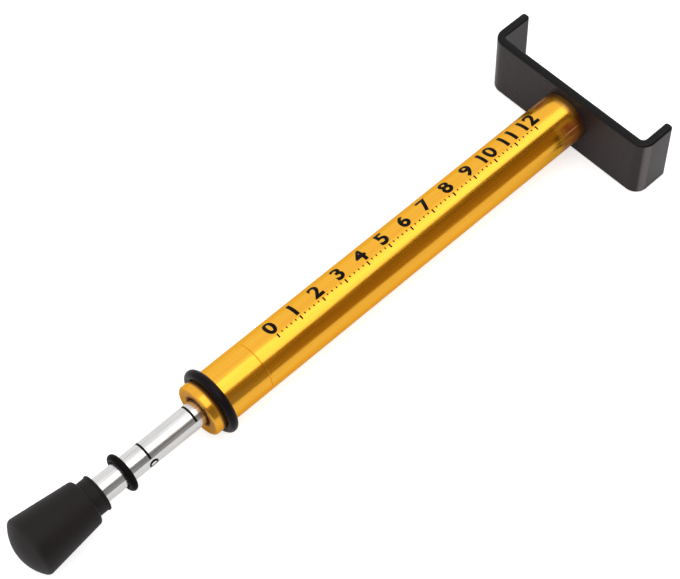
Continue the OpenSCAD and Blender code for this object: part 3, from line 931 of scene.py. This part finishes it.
def rod_number(text, x):
    points, faces = flat_number(text, number_rise, rod_stroke, across=0)
    last = max(u for u, v, z in points)
    verts = []
    for u, v, z in points:
        angle = number_edge + (last - u) * number_stretch / rod_r
        verts.append(on_cylinder(x + number_rise / 2 - v, angle, layer_r(rod_r, z)))
    return verts, faces


new_piece("rod_numbers", *rod_number("10", mark_xs[1] + number_shift), black_ink, "plunger", "black_coat")

# %% Centimetre scale on the barrel
scale_start = mm(-139.5)
tick_pitch, tick_count, ticks_per_number = mm(2.0), 61, 5
scale_base, tick_gap, short_tick, long_tick = 91.0, 3.5, 8.0, 13.0
thin_tick, thick_tick, tick_steps = mm(0.45), mm(0.6), 6
number_height = mm(6.15)
barrel_stroke = 0.035


def barrel_number(text, x):
    points, faces = flat_number(text, number_height, barrel_stroke, across=1)
    base = math.radians(scale_base)
    verts = [on_cylinder(x + u, base - v / barrel_r, layer_r(barrel_r, z)) for u, v, z in points]
    return verts, faces


scale_parts = []
low_r, high_r = layer_r(barrel_r, 0), layer_r(barrel_r, 1)
for step in range(tick_count):
    numbered = step % ticks_per_number == 0
    tick_x = scale_start + tick_pitch * step
    tick_end = scale_base + (long_tick if numbered else short_tick)
    width = thick_tick if numbered else thin_tick
    tick = arc_bar(tick_x, width, scale_base + tick_gap, tick_end, low_r, high_r, tick_steps)
    scale_parts.append(tick)
    if numbered:
        scale_parts.append(barrel_number(str(step // ticks_per_number), tick_x))
new_piece("barrel_scale", *join_parts(scale_parts), black_ink, "barrel", "black_coat")

# %% [markdown]
# ## The studio
# The tool lies on a pale floor in an even white room. The floor and the room look white to the camera and in
# reflections, but the light that they really give is lower, so the colours stay as they are written and the
# floor keeps a soft shadow.

# %% Floor
def flat_panel(name, corners, material):
    mesh = bpy.data.meshes.new(name)
    mesh.from_pydata(corners, [], [tuple(range(len(corners)))])
    mesh.materials.append(material)
    panel = bpy.data.objects.new(name, mesh)
    bpy.context.scene.collection.objects.link(panel)
    return panel


def background_rays(tree):
    path = place(tree, "ShaderNodeLightPath").outputs
    mirrored = math_node(tree, "MAXIMUM", path["Is Glossy Ray"], path["Is Transmission Ray"])
    return path["Is Camera Ray"], mirrored


white, floor_white = (1.0, 1.0, 1.0, 1.0), (0.88, 0.88, 0.88, 1.0)
seen_lift, mirrored_lift = 0.58, 0.10
floor_z = cad_box[0].z
floor_half = 6.0
floor_paint, tree, shader = new_material("floor_paint", Roughness=0.9, Specular_IOR_Level=0.1)
shader["Base Color"].default_value = floor_white
shader["Emission Color"].default_value = white
seen, mirrored = background_rays(tree)
for_camera = math_node(tree, "MULTIPLY", seen, seen_lift)
for_mirrors = math_node(tree, "MULTIPLY", mirrored, mirrored_lift)
tree.links.new(math_node(tree, "MAXIMUM", for_camera, for_mirrors), shader["Emission Strength"])
corner_signs = ((-1, -1), (1, -1), (1, 1), (-1, 1))
flat_panel("floor", [(x * floor_half, y * floor_half, floor_z) for x, y in corner_signs], floor_paint)
print("floor at z %.1f mm" % (1000 * floor_z))

# %% [markdown]
# One long softbox above and in front of the tube draws the bright line along it. A dark card below the
# softbox is seen only by reflections: it makes the dark band beside the bright line that tells the eye the
# metal is polished. The card is lighter at its foot, where the floor shines on it, so the band fades from one
# edge to the other. Toward the cradle it is warmer and darker, and its top edge rises, so that the band
# deepens along the tube and widens at that end.

# %% Softbox
softbox_place = Vector((0.23, -0.17, 0.785))
softbox_data = bpy.data.lights.new("softbox", "AREA")
softbox_data.shape = "RECTANGLE"
softbox_data.size = 1.6
softbox_data.size_y = 0.74
softbox_data.energy = 3.2
softbox = bpy.data.objects.new("softbox", softbox_data)
softbox.location = softbox_place
aim = Vector((softbox_place.x, 0, 0)) - softbox_place
softbox.rotation_euler = aim.to_track_quat("-Z", "Y").to_euler()
bpy.context.scene.collection.objects.link(softbox)
softbox_area = softbox_data.size * softbox_data.size_y
print("softbox radiance about %.2f" % (softbox_data.energy / math.pi / softbox_area))

# %% Dark card for the reflections
card_y, card_left, card_right = -0.2, -2.0, 3.0
card_low, darkest_z = floor_z, 0.40
card_edge = ((card_right, 0.44), (0.19, 0.44), (0.08, 0.350), (0.0, 0.278), (card_left, 0.278))
warm_start, warm_full = -0.105, -0.085
far_start, far_full = 0.0, 0.12
plain_foot, plain_top = (0.320, 0.312, 0.308), (0.150, 0.145, 0.142)
warm_foot, warm_top = (0.370, 0.250, 0.080), (0.095, 0.040, 0.010)
far_top = (0.030, 0.010, 0.003)

card_paint = bpy.data.materials.new("card_paint")
card_paint.use_nodes = True
tree = card_paint.node_tree
tree.nodes.clear()
along_card = coordinate(tree, "Object", "X")
rise = remap(tree, coordinate(tree, "Object", "Z"), 0.0, 1.0, card_low, darkest_z)
warm = remap(tree, along_card, 0.0, 1.0, warm_start, warm_full)
far = remap(tree, along_card, 0.0, 1.0, far_start, far_full)
foot = blend_colour(tree, warm, plain_foot, warm_foot)
top = blend_colour(tree, far, blend_colour(tree, warm, plain_top, warm_top), far_top)
glow = place(tree, "ShaderNodeEmission", {"Color": blend_colour(tree, rise, foot, top), "Strength": 1.0})
place(tree, "ShaderNodeOutputMaterial", {"Surface": glow.outputs[0]})

card_corners = [(card_left, card_y, card_low), (card_right, card_y, card_low)]
card_corners += [(x, card_y, z) for x, z in card_edge]
card = flat_panel("dark_card", card_corners, card_paint)
card.visible_camera = False
card.visible_diffuse = False
card.visible_shadow = False
card.visible_transmission = False
print("card has %d corners" % len(card_corners))

# %% Room light
room_given, room_seen = 0.72, 1.0
world = bpy.data.worlds.new("studio_room")
world.use_nodes = True
bpy.context.scene.world = world
tree = world.node_tree
tree.nodes.clear()
room_level = remap(tree, math_node(tree, "MAXIMUM", *background_rays(tree)), room_given, room_seen)
room = place(tree, "ShaderNodeBackground", {"Color": white, "Strength": room_level})
place(tree, "ShaderNodeOutputWorld", {"Surface": room.outputs[0]})
print("room light set")
